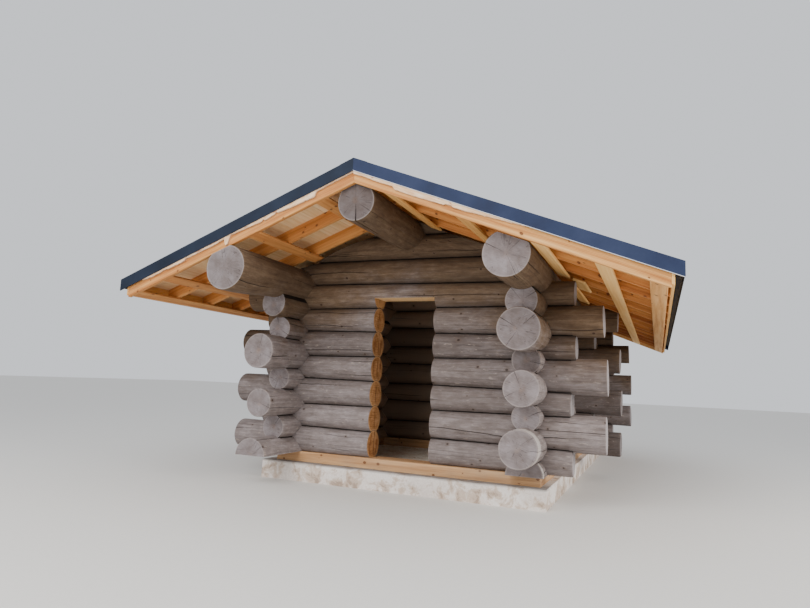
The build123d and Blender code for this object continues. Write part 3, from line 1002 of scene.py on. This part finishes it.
def corner_table(solid, lengthwise, widthwise):
    """The eight corners as a 2 x 2 x 2 table: by length, width and depth, low side first."""
    depthwise = np.cross(lengthwise, widthwise)
    table = np.empty((2, 2, 2, 3))
    shares = [solid @ direction for direction in (lengthwise, widthwise, depthwise)]
    high = [share > (share.min() + share.max()) / 2 for share in shares]
    for place in np.ndindex(2, 2, 2):
        chosen = np.all([mask == bool(bit) for mask, bit in zip(high, place)], axis=0)
        table[place] = solid[chosen].mean(axis=0)
    return table


def blend_corners(table, u, a, b):
    """The point at shares u, a and b of a corner table, by straight blending along each."""
    total = 0
    for place in np.ndindex(2, 2, 2):
        weight = np.ones_like(u * a * b)
        for share, bit in zip((u, a, b), place):
            weight = weight * (share if bit else 1 - share)
        total = total + weight[..., None] * table[place]
    return total


def part_of(table, *spans):
    """The corner table of a smaller board, from its span of length, width and depth in a larger."""
    smaller = np.empty_like(table)
    for place in np.ndindex(2, 2, 2):
        shares = (np.array(float(span[bit])) for span, bit in zip(spans, place))
        smaller[place] = blend_corners(table, *shares)
    return smaller


def outline(width, depth, edge):
    """Shares of width and depth round a rectangle with corners eased by that radius, with two
    more points on each broad face, against the clock."""
    turn = np.linspace(0, math.pi / 2, 3)
    centres = [(width - edge, depth - edge, 0), (edge, depth - edge, 1),
               (edge, edge, 2), (width - edge, edge, 3)]
    a, b = [], []
    for number, (x, y, quarter) in enumerate(centres):
        a.append(x + edge * np.cos(turn + quarter * math.pi / 2))
        b.append(y + edge * np.sin(turn + quarter * math.pi / 2))
        if number % 2 == 0:
            thirds = np.array([2, 1]) / 3 if number == 0 else np.array([1, 2]) / 3
            a.append(thirds * width)
            b.append(np.full(2, depth if number == 0 else 0.0))
    return np.concatenate(a), np.concatenate(b)


def board(piece, table, seed):
    """One board as a closed grid: the outline at stations along its length, with a smaller one
    at each end for the eased arris, moved in and out by noise."""
    faces = ((table[1], table[0]), (table[0, 1], table[0, 0]), (table[0, :, 1], table[0, :, 0]))
    length, width, depth = (
        np.linalg.norm(high.reshape(-1, 3).mean(axis=0) - low.reshape(-1, 3).mean(axis=0))
        for high, low in faces)
    edge = min(board_edge, depth / 4)
    a, b = outline(width, depth, edge)
    stations = np.linspace(0, length, max(int(length / board_station), 3) + 1)
    stations = np.concatenate([[0], [edge], stations[1:-1], [length - edge], [length]])
    inner = np.zeros(len(stations))
    inner[[0, -1]] = 1
    share_a, share_b = (
        0.5 + (part / whole - 0.5)[None, :] * (1 - arris * edge / whole * inner[:, None])
        for part, whole in ((a, width), (b, depth)))
    u = (stations / length)[:, None] + 0 * share_a
    points = blend_corners(table, u, share_a, share_b)
    chances = np.random.default_rng(seed)
    shift = chances.uniform(0, 60, 2)
    along = stations[:, None] + 0 * share_a
    half = np.full_like(u, 0.5)
    outward = points - blend_corners(table, u, half, half)
    size = np.linalg.norm(outward, axis=-1, keepdims=True)
    lengthwise, around = board_wave
    wave = noise(along * lengthwise + shift[0], a[None, :] * around, b[None, :] * around, seed)
    bend = noise(along * board_bend, shift[1], 0.5, seed + 5) * np.sin(math.pi * u)
    across = (table[0, 1, 0] - table[0, 0, 0]) / width
    points = points + outward / size * (board_rough * (wave[..., None] - 0.6))
    points = points + across * (board_bow * bend)[..., None]
    around = np.concatenate([[0], np.cumsum(np.hypot(np.diff(a), np.diff(b)))])
    around = np.append(around, around[-1] + math.hypot(a[0] - a[-1], b[0] - b[-1]))
    side_uv = table_of(stations[:, None] + shift[0], around[None, :] + shift[1])
    wrap = np.arange(len(a) + 1) % len(a)
    end_uv = table_of(share_a[:, wrap] * width, share_b[:, wrap] * depth) + shift % 1
    finish = np.zeros((len(stations) - 1, len(a)), int)
    depthwise = table[0, 0, 1] - table[0, 0, 0]
    faces_down = share_b < 0.5 if depthwise[2] > 0 else share_b > 0.5
    marks = {"seed": chances.uniform(), "below": faces_down & (np.abs(share_b - 0.5) > 0.49)}
    piece.add(points, side_uv, end_uv, finish, marks)


# %% [markdown]
# New pine, planed or sawn. The same kind of net makes each sort of board in this roof: long
# growth lines, darker in late wood, warped a little, with knots that are red-brown and ringed.
# Only the colours, the number of knots and the evenness differ from one sort to the next. The
# sills have stood outside for longer than the roof, so they also get grey patches.

# %% Pine
def pine(name, pale, middle, deep, knot_share=0.45, grey=0.0, spread=0.3, lit=0.0):
    """Pine in three tones from pale to deep; spread is how far one board differs from another,
    and lit how much paler the faces are that look down at the bright floor."""
    finish = Finish(name)
    along, across = finish.grain()
    seed = finish.mark("seed")
    bend = finish.noise((along * 0.9, across * 5, seed * 9), 2, 0.5)
    distance, knotty = knots(finish, along, across, (0.62, 0.085), knot_share, 0.013)
    swell = distance.ease(4.5, 0.5) * knotty
    lines = growth_rings(across + bend * 0.05 + swell * 0.012, board_ring)
    fibre = finish.noise((along * 7, across * 260, seed), 3, 0.65)
    broad = finish.noise((along * 0.9, across * 26, seed * 31), 3, 0.6)
    tone = 0.5 + (broad - 0.5) * 0.9 + (lines - 0.5) * 0.16 + (fibre - 0.5) * 0.3 + (seed - 0.5) * spread
    ring = distance.ease(0.62, 0.85) * distance.ease(1.25, 0.95) * knotty
    core = distance.ease(1.1, 0.85) * knotty
    patch = finish.noise(finish.place(), 3, 0.6, 1.7)
    colour = finish.over(
        finish.ramp(tone, (0.25, deep), (0.5, middle), (0.74, pale)),
        (lines.ease(0.45, 1.0) * 0.16, deep),
        (distance.ease(2.4, 0.9) * knotty * 0.35, deep),
        (core * 0.85, (112, 62, 34)),
        (ring * 0.7, (74, 44, 26)),
        (patch.ease(0.4, 0.75) * grey, (150, 136, 120)))
    if lit:
        colour = finish.mix(finish.mark("below") * lit, colour, pale)
    saw = finish.noise((along * 170, across * 5, seed), 2, 0.6)
    height = fibre * 0.35 + lines * 0.25 + saw * 0.3 - core * 0.3
    return finish.close(colour, 0.62 + fibre * 0.2, height, 0.0016)


barge_pine = pine("barge_pine", (242, 194, 130), (218, 158, 92), (174, 108, 54), 0.4)
plank_pine = pine("plank_pine", (252, 208, 138), (242, 188, 112), (210, 150, 82), 0.3)
roof_pine = pine("roof_pine", (214, 152, 88), (186, 120, 62), (142, 82, 40), 0.6)
rafter_pine = pine("rafter_pine", (220, 156, 88), (192, 120, 58), (146, 80, 36), 0.7,
                   spread=0.4, lit=0.3)
deck_pine = pine("sheathing_pine", (248, 216, 170), (238, 200, 150), (222, 180, 128), 0.12,
                 spread=0.14)
sill_wood = pine("sill_pine", (222, 186, 142), (206, 163, 118), (168, 124, 84), 0.5, 0.35)
pines = [barge_pine, plank_pine, roof_pine, rafter_pine, deck_pine, sill_wood]
print("pine finishes:", [finish.name for finish in pines])

# %% [markdown]
# The timbers of the roof and the sills lie where their solids lie. The planks under the left
# eave are given a deeper colour than those under the right one, as painted shade, for the left
# eave lies in shade, so each side has its own finish.

# %% Rafters, planks, eaves and sills
def boards_for(name, finish, node, lengthwise, widthwise):
    """One piece of boards, each in the place of one solid of the node."""
    piece = Piece(name)
    for number, solid in enumerate(solids_of(node)):
        board(piece, corner_table(solid, lengthwise, widthwise), number * 37 + len(node) * 7)
    return dress(piece.build(), [finish], [node])


# painted shade: the planks under the left eave take a deeper pine than those under the right one
under_pine = {"left": roof_pine, "right": plank_pine}
for side, down in down_slope.items():
    for name, node, finish, lengthwise, widthwise in (
        ("rafter_boards", "rafters", rafter_pine, down, along_roof),
        ("barge_boards", "barge_rafters", barge_pine, down, along_roof),
        ("planks", "underside_planks", under_pine[side], along_roof, down),
        ("eave_plank", "eave_board", barge_pine, along_roof, down),
        ("fascia_board", "fascia", plank_pine, along_roof, upright),
    ):
        boards_for(f"{side}_{name}", finish, f"{side}_{node}", lengthwise, widthwise)
boards_for("cross_sill_timbers", sill_wood, "cross_sills", across_house, along_roof)
boards_for("side_sill_timbers", sill_wood, "side_sills", along_roof, across_house)
print("boards on the rafters, eaves and sills are laid")

# %% [markdown]
# The pale sheathing is one slab for each slope in the frame. Here it is laid as boards a good
# hand's breadth wide. Each row is two boards that meet at a place drawn by chance, because the
# joints of real sheathing are staggered too.

# %% Sheathing
deck_width, deck_side_gap, deck_end_gap = 0.145, 0.006, 0.0002
joint_steps, first_joint, last_joint = 14, 3, 12
for side in ("left", "right"):
    slab = corner_table(solids_of(f"{side}_sheathing")[0], along_roof, down_slope[side])
    slope_length = np.linalg.norm(slab[0, 1, 0] - slab[0, 0, 0])
    rows = int(slope_length / deck_width)
    piece = Piece(f"{side}_sheathing_boards")
    chances = np.random.default_rng(31)
    for row in range(rows):
        span = ((row + deck_side_gap) / rows, (row + 1 - deck_side_gap) / rows)
        butt = chances.integers(first_joint, last_joint, 1)[0] / joint_steps + 0.004
        for number, (start, end) in enumerate(((0, butt), (butt, 1))):
            strip = part_of(slab, (start + deck_end_gap, end - deck_end_gap), span, (0, 1))
            board(piece, strip, 400 + row * 5 + number)
    dress(piece.build(), [deck_pine], [f"{side}_sheathing"])
    print(side, "sheathing:", rows, "rows of boards", round(slope_length / rows, 3), "m wide")

# %% [markdown]
# Under the metal verge the edge of a rough board shows, split off from the outside of a log. Its
# lower edge is the round of the tree: it wanders, ends in torn steps and has lost its bark in
# places. The depth of the strip is a short table of places down the slope with straight lines
# between them, roughened by noise. The section at each place is a bar whose lower corner is
# rounded back as the bark side of a board is.

# %% Wane-edged boards
verge_low, sheathing_level = 0.082, 0.144  # square above the underside of the rafters
wane_thickness, wane_station = 0.024, 0.012
wane_depths = {  # metres down the slope, millimetres of depth
    "left": [(0.0, 12), (0.42, 14), (0.43, 58), (0.62, 52), (0.80, 38), (0.885, 30), (0.89, 16),
             (0.93, 34), (1.03, 40), (1.06, 22), (1.07, 38), (1.20, 30), (1.40, 16), (1.47, 10),
             (1.50, 88), (1.53, 96), (1.55, 20), (1.70, 26), (1.90, 22), (2.07, 20), (2.08, 34),
             (2.30, 30), (2.38, 16), (2.42, 26), (2.55, 22), (2.69, 6)],
    "right": [(0.0, 30), (0.10, 26), (0.30, 32), (0.44, 28), (0.455, 54), (0.60, 58), (0.80, 52),
              (0.97, 48), (0.985, 34), (1.04, 32), (1.06, 46), (1.20, 40), (1.40, 26), (1.60, 14),
              (1.74, 4)],
}


def wane_strip(piece, side, end, face, seed):
    """One rough board: at each place down the slope a bar of six corners, from the height of
    the sheathing down to the verge's lower edge less the depth there."""
    table = np.array(wane_depths[side])
    down = np.arange(0.002, table[-1, 0], wane_station)
    depth = np.interp(down, table[:, 0], table[:, 1]) / 1000
    depth += 0.0035 * noise(down * 38, seed, 0.5, 3) + 0.002 * noise(down * 110, seed, 0.5, 4)
    low = verge_low - np.maximum(depth, 0.002)
    back = np.array([0, 0, 0, 1, 1, 0.55]) * wane_thickness
    bevel = np.array([0, 0, 0.004, 0, 0, 0.0])
    lift = table_of(low + 0.006, verge_low, sheathing_level, sheathing_level, low + 0.003, low)
    across = face - back - bevel - 0.0015 * noise(down[:, None] * 30, lift * 60, seed, 5)
    x = down[:, None] * (1 if side == "right" else -1) + 0 * lift
    height = under_rafters(x) + lift / math.cos(roof_angle)
    points = np.stack([x, end * across, height], axis=-1)
    if (side == "right") == (end < 0):
        points, lift = points[:, ::-1], lift[:, ::-1]
    around = np.linspace(0, 0.2, points.shape[1] + 1)
    uv = table_of(down[:, None] + seed, around[None, :])
    bare = np.zeros((len(down) - 1, points.shape[1]), int)
    piece.add(points, uv, uv, bare, {"seed": 0.5, "edge": lift - low[:, None]})


def rough_pine():
    """Inner bark and bare wood: cream, with brown rags of bark along the edge and in patches."""
    finish = Finish("wane_edge_pine")
    edge = finish.mark("edge")
    along, across = finish.grain()
    fibre = finish.noise((along * 9, across * 120), 3, 0.6)
    patch = finish.noise((along * 5, across * 9, 2.0), 3, 0.6)
    rag = finish.noise((along * 40, across * 60, 5.0), 2, 0.6)
    colour = finish.over(
        finish.ramp(fibre * 0.5 + patch * 0.5,
                    (0.3, (206, 152, 108)), (0.5, (232, 196, 158)), (0.7, (250, 234, 214))),
        (patch.ease(0.58, 0.66) * 0.75, (168, 104, 66)),
        ((edge + rag * 0.012).ease(0.011, 0.006) * 0.6, (128, 80, 50)))
    return finish.close(colour, 0.85, fibre * 0.5 + rag * 0.6, 0.002, gloss=0.2)


wane_face = max(abs(solid[:, 1]).max() for solid in solids_of("wane_edge_boards"))
piece = Piece("wane_edge_strips")
for end in (-1, 1):
    for number, side in enumerate(wane_depths):
        wane_strip(piece, side, end, wane_face, 3.0 + number + end)
dress(piece.build(), [rough_pine()], ["wane_edge_boards"])
print("wane boards lie", round(wane_face, 3), "m from the middle")

# %% [markdown]
# The concrete slab was cast between rough planks: its faces wander by a few millimetres, its
# arrises are chipped, and years of splashing rain left sandy stains on it. It is a section in
# y and z carried along x, and noise pushes each face inwards only, so it stays inside its solid.
# Indoors the floor is painted pale as painted light, and the open ledge in front of the wall is
# coloured darker, so the mesh marks those two areas for the finish.

# %% Concrete slab
slab_low, slab_high = (np.array(corner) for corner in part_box("concrete_slab"))
slab_station, slab_end_shares = 0.045, np.array([0.1, 0.35, 0.6, 0.8, 0.92, 1.0])
chip_start, chip_depth, chip_reach = 0.15, 0.022, 0.04


def slab_section():
    """Shares of depth and height round the slab, against the clock, close together at the
    faces that show: up the rear, along the top to the front, down the front, back below."""
    rise, run, below = (
        np.linspace(*ends)[:-1] for ends in ((0, 1, 9), (1, 0, 40), (0, 1, 6)))
    y = np.concatenate([np.ones_like(rise), run, np.zeros_like(rise), below])
    z = np.concatenate([rise, np.ones_like(run), 1 - rise, np.zeros_like(below)])
    return y, z


def cast_slab():
    """The slab as a closed grid. Each point moves in from its face by 4 mm of slow noise, and by
    up to 19 mm more within a hand of the upper arris where a chip's noise is high."""
    share_y, share_z = (shares[None, :] for shares in slab_section())
    body = np.arange(slab_low[0] + 0.004, slab_high[0] - 0.004, slab_station)
    along, share, _ = capped(slab_low[0], body, slab_high[0], slab_end_shares)
    share = share[:, None]
    size = slab_high - slab_low
    x = along[:, None] + 0 * share_y
    y = slab_low[1] + share_y * size[1] + 0 * x
    z = slab_low[2] + share_z * size[2] + 0 * x
    chip = np.clip(noise(x * 7, y * 7, z * 7, 21) - chip_start, 0, 1) * chip_depth
    near_top = ease(z, size[2] * 0.55, size[2])
    wander = 0.004 * (0.5 + 0.5 * noise(x * 3, y * 3, z * 9, 22))
    wander = wander + 0.0015 * noise(x * 25, y * 25, z * 25, 23)
    inward = np.abs(wander) + chip * near_top
    y = y + np.where(share_y == 0, inward, 0) - np.where(share_y == 1, inward, 0)
    edge = np.minimum(y - slab_low[1], slab_high[1] - y)
    on_top = share_z == 1
    z = z - np.where(on_top, 0.0008 + chip * ease(-edge, -chip_reach, 0), 0)
    middle = (slab_low + slab_high) / 2
    first, last = (np.abs(along - end[0])[:, None] < nearly for end in (slab_low, slab_high))
    x = x + (first * inward - last * inward) * (share > 0.9)
    y = middle[1] + (y - middle[1]) * share
    z = middle[2] + (z - middle[2]) * share
    columns = share_y.shape[1]
    flat = np.zeros((len(along), columns + 1, 2))
    indoors = (np.abs(x) < side_line) & (y > wall_lines[0]) & (y < wall_lines[-1])
    piece = Piece("cast_slab")
    piece.add(np.stack([x, y, z], axis=-1), flat, flat, np.zeros((len(along) - 1, columns), int),
              {"indoors": indoors, "ledge": on_top & (y < wall_lines[0])})
    return piece.build()


def concrete():
    """Pale cement with sand stains, runs of brown and pits, and a floor indoors painted pale as painted
    light.
    """
    finish = Finish("concrete")
    place = finish.place()
    indoors, ledge = map(finish.mark, ("indoors", "ledge"))
    cloud = finish.noise(place, 4, 0.6, 2.2)
    stain = finish.noise(place, 5, 0.68, 5.5, 0.5) + finish.split(place)[2].ease(0.2, 0.02) * 0.07
    sand = finish.noise(place, 2, 0.6, 160)
    grit = finish.noise(place, 3, 0.7, 38)
    pits = finish.node("TexVoronoi", {"feature": "F1"}, {"Vector": place, "Scale": 60.0})
    pit = Num(finish, pits.outputs["Distance"]).ease(0.2, 0.08) * grit.ease(0.5, 0.62)
    # painted light: the floor indoors is painted pale to stand in for the light inside
    painted_lit_floor = finish.ramp(grit * 0.5 + stain * 0.5,
                          (0.44, (255, 248, 236)), (0.54, (244, 230, 212)), (0.64, (188, 166, 144)))
    colour = finish.over(
        finish.ramp(cloud * 0.6 + grit * 0.4,
                    (0.3, (198, 186, 176)), (0.5, (226, 217, 210)), (0.7, (240, 235, 231))),
        (stain.ease(0.5, 0.6) * 0.55, (178, 148, 118)),
        (stain.ease(0.6, 0.68) * 0.5, (124, 100, 82)),
        (sand.ease(0.55, 0.75) * 0.25, (120, 104, 92)),
        (pit * 0.6, (70, 60, 54)),
        (indoors * 0.95, painted_lit_floor),
        (ledge * 0.7, (96, 92, 90)))
    return finish.close(colour, 0.95, grit * 0.6 + sand * 0.3 - pit, 0.004, gloss=0.15)


dress(cast_slab(), [concrete()], ["concrete_slab"])
print("slab", np.round(slab_high - slab_low, 3))

# %% [markdown]
# The roof metal keeps its plain solids: folded sheet has sharp, straight forms, and only its
# coating has to be told. It is a dark slate blue, satin, with the faint waves of thin sheet, and
# dust and dried rain that make it a little paler and duller in long runs down the slope. The
# right verge trim faces the light, so its finish is a paler copy as painted light. It ends in a
# folded hem, and a thin bright line along its lower edge is in part a painted highlight and in
# part the bare zinc of its cut edge. The distance square above the rafters tells where that line
# lies.

# %% Coated sheet
hem_height = 0.0045
sheet_tones = ((20, 27, 40), (27, 36, 52), (39, 49, 67))
# painted light: paler tones for the right verge trim, which faces the light
lit_tones = ((30, 38, 60), (40, 50, 78), (54, 64, 92))


def coated_sheet(name, tones, hem_highlight=False):
    finish = Finish(name)
    place = finish.place()
    x, y, z = finish.split(place)
    run = finish.noise((x * 1.5, y * 16, z * 1.5), 3, 0.6)
    dust = finish.noise(place, 4, 0.6, 3.0)
    grain = finish.noise(place, 2, 0.6, 420)
    wave = finish.noise((x * 2.5, y * 5, z * 2.5), 1, 0.5)
    colour = finish.ramp(run * 0.5 + dust * 0.5, *zip((0.3, 0.5, 0.72), tones))
    colour = finish.mix(grain.ease(0.55, 0.8) * 0.1, colour, (66, 78, 100))
    if hem_highlight:
        # a thin pale line along the hem: in part a painted highlight, in part bare zinc
        above = (z - (rafter_apex - abs(x) * roof_fall)) * math.cos(roof_angle)
        line = above.ease(verge_low + hem_height, verge_low + hem_height - 0.001)
        colour = finish.mix(line, colour, (206, 210, 216))
    roughness = 0.54 + dust * 0.16 + run * 0.08
    return finish.close(colour, roughness, wave * 0.8 + grain * 0.02, 0.003, gloss=0.18)


sheet = coated_sheet("slate_blue_sheet", sheet_tones)
painted_lit_sheet = coated_sheet("slate_blue_sheet_painted_lit", lit_tones, True)
metal_ends = ("ridge_cap", "roof_sheet", "verge_trims", "drip_edge")
sheet_nodes = [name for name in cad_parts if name.endswith(metal_ends)]
for name in sheet_nodes:
    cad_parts[name].data.materials.clear()
    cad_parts[name].data.materials.append(painted_lit_sheet if name == "right_verge_trims" else sheet)
print("metal nodes:", sheet_nodes)

# %% [markdown]
# The light is that of a bright studio with a pale floor: a soft sky all round, one large lamp
# high in front, a weak one low down that reaches up under the eaves, and one at the right that
# picks out the sawn ends of the cross walls. The camera doesn't see the lamps themselves. Much of
# what reaches the underside of the roof comes up from the floor, as it does in the open.

# %% Light and floor
def lamp(name, place, aim, size, power, colour):
    """A large square lamp at a place, turned towards another."""
    made = added(name, bpy.data.lights.new(name, "AREA"))
    made.data.energy, made.data.size, made.data.color = power, size, colour
    made.location = place
    made.rotation_euler = (Vector(aim) - Vector(place)).to_track_quat("-Z", "Y").to_euler()
    made.visible_camera = False
    return made


world = bpy.data.worlds.new("sky")
bpy.context.scene.world = world
world.use_nodes = True
sky = world.node_tree.nodes["Background"].inputs
sky["Color"].default_value, sky["Strength"].default_value = (0.92, 0.95, 1.0, 1.0), 0.95
lamps = [
    lamp("front_lamp", (-1.6, -12.8, 6.5), (0.0, -2.5, 1.3), 7.0, 920, (1.0, 0.98, 0.95)),
    lamp("low_lamp", (-0.5, -10.5, 0.7), (-0.4, -3.6, 2.9), 4.0, 90, (1.0, 0.97, 0.93)),
    lamp("right_lamp", (11.0, -5.0, 4.0), (1.5, -2.0, 1.3), 4.0, 860, (1.0, 0.97, 0.92)),
]
reach = 60.0
floor_mesh = bpy.data.meshes.new("studio_floor")
corners = [(-reach, -reach, 0), (reach, -reach, 0), (reach, reach, 0), (-reach, reach, 0)]
floor_mesh.from_pydata(corners, [], [(0, 1, 2, 3)])
floor = added("studio_floor", floor_mesh)
pale = Finish("studio_floor")
speck = pale.noise(pale.place(), 2, 0.5, 30)
dusty = pale.mix(speck.ease(0.3, 0.7) * 0.1, (222, 220, 216), (206, 203, 198))
floor_mesh.materials.append(pale.close(dusty, 0.9, gloss=0.1))
print("lamps:", [light.name for light in lamps])
